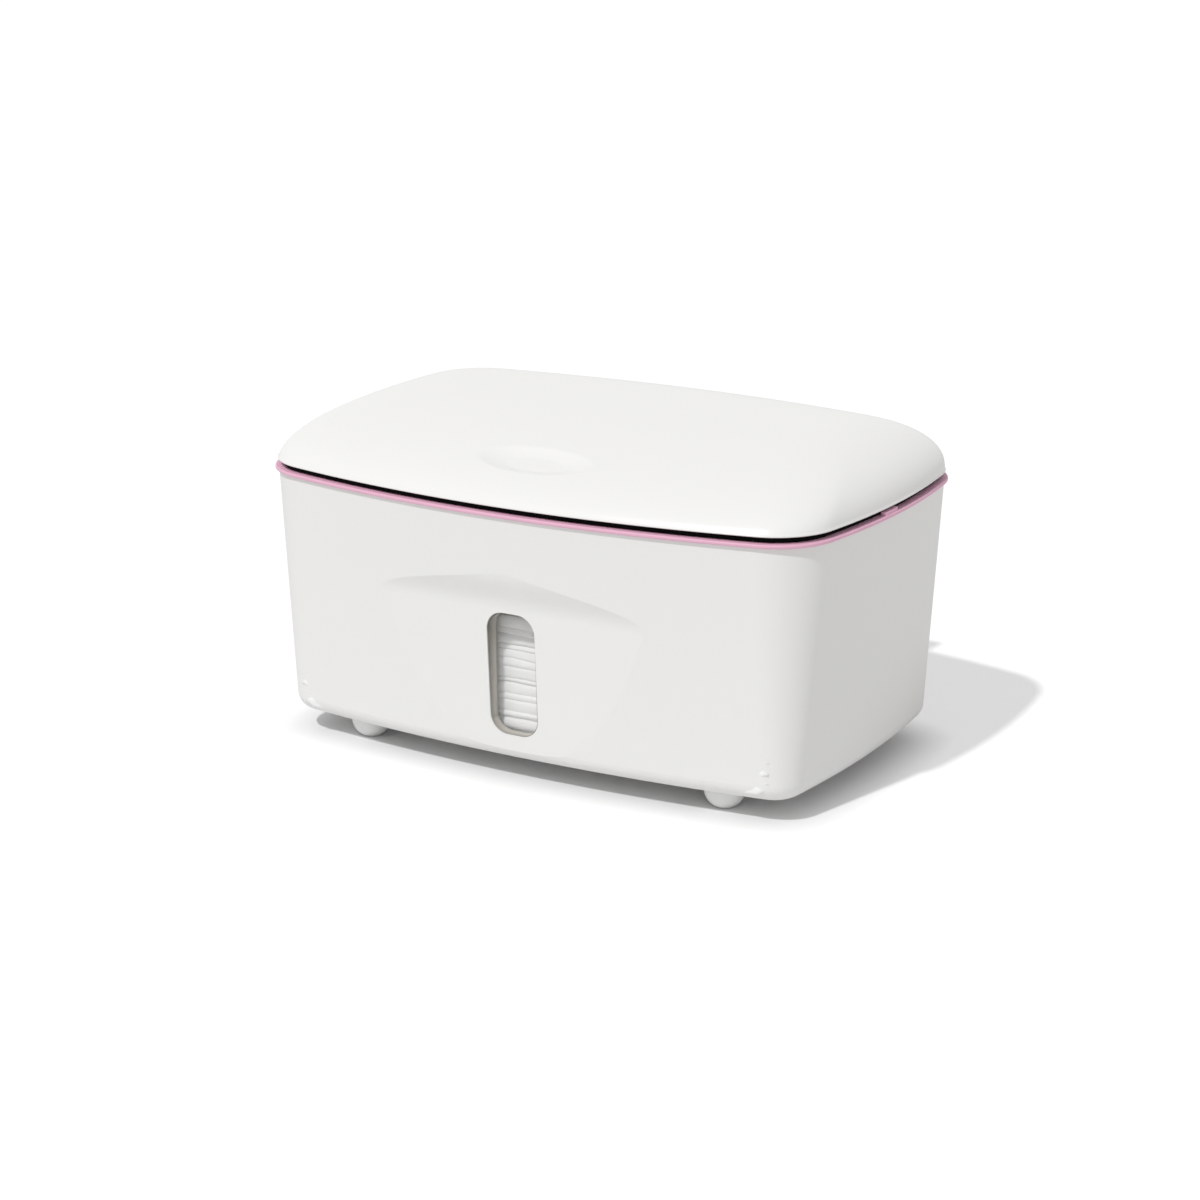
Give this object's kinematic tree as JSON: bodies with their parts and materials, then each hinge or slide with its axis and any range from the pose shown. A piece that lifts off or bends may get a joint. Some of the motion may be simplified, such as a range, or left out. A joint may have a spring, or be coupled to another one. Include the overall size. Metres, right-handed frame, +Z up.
{
  "type": "wipes dispenser",
  "caption": "Bowed white box for wipes with a hinged pillow lid, press latch, pink silicone rim, front window, weighted dispensing plate and soft dome feet.",
  "frame": {"origin": "middle of the footprint, on the surface that the feet stand on", "axes": "+X to the right along the length, +Y to the back where the hinge is, +Z up"},
  "size_m": [0.22, 0.154, 0.116],
  "materials": {
    "white_shell": "white moulded plastic with a satin surface",
    "white_inner": "white moulded plastic, finely textured",
    "clear_pane": "clear moulded plastic",
    "pink_silicone": "soft pink silicone, matte",
    "dark_silicone": "near-black silicone, matte",
    "soft_foot": "soft white rubber, matte",
    "steel": "drawn or machined stainless steel",
    "latch_plastic": "off-white acetal",
    "wipe_cloth": "moist non-woven cloth"
  },
  "bodies": {
    "base": {"box_shell": "white_shell", "window_pane": "clear_pane", "rim_seal": "pink_silicone", "seal_lip": "dark_silicone", "foot_front_left": "soft_foot", "foot_rear_left": "soft_foot", "foot_front_right": "soft_foot", "foot_rear_right": "soft_foot", "hinge_bracket": "white_shell", "hinge_pin": "steel", "hinge_screws": "steel", "spring_cover": "white_shell", "hinge_spring_left": "steel", "hinge_spring_right": "steel", "latch_housing": "latch_plastic", "latch_screws": "steel", "latch_spring": "steel", "wipes_stack": "wipe_cloth"},
    "lid": {"lid_cover": "white_shell", "lid_liner": "white_inner", "lid_screws": "steel", "lid_striker": "latch_plastic"},
    "latch": {"latch_slider": "latch_plastic", "latch_follower": "steel"},
    "plate": {"plate_cover": "white_inner", "plate_base": "white_inner", "plate_bars": "steel", "plate_screws": "steel", "slot_lip": "pink_silicone", "top_wipe": "wipe_cloth"}
  },
  "joints": [
    {"name": "lid_hinge", "type": "hinge", "parent": "base", "child": "lid", "pos_m": [0, 0.0722, 0.1005], "axis": [-1, 0, 0], "range_deg": [0, 100]},
    {"name": "latch_press", "type": "slide", "parent": "base", "child": "latch", "axis": [0, 0, 1], "range_m": [-0.003, 0], "stiffness_N_per_m": 200, "springref_m": 0.003, "deforming": ["latch_spring"]},
    {"name": "plate_drop", "type": "slide", "parent": "base", "child": "plate", "axis": [0, 0, 1], "range_m": [-0.04, 0], "deforming": ["wipes_stack"]}
  ]
}
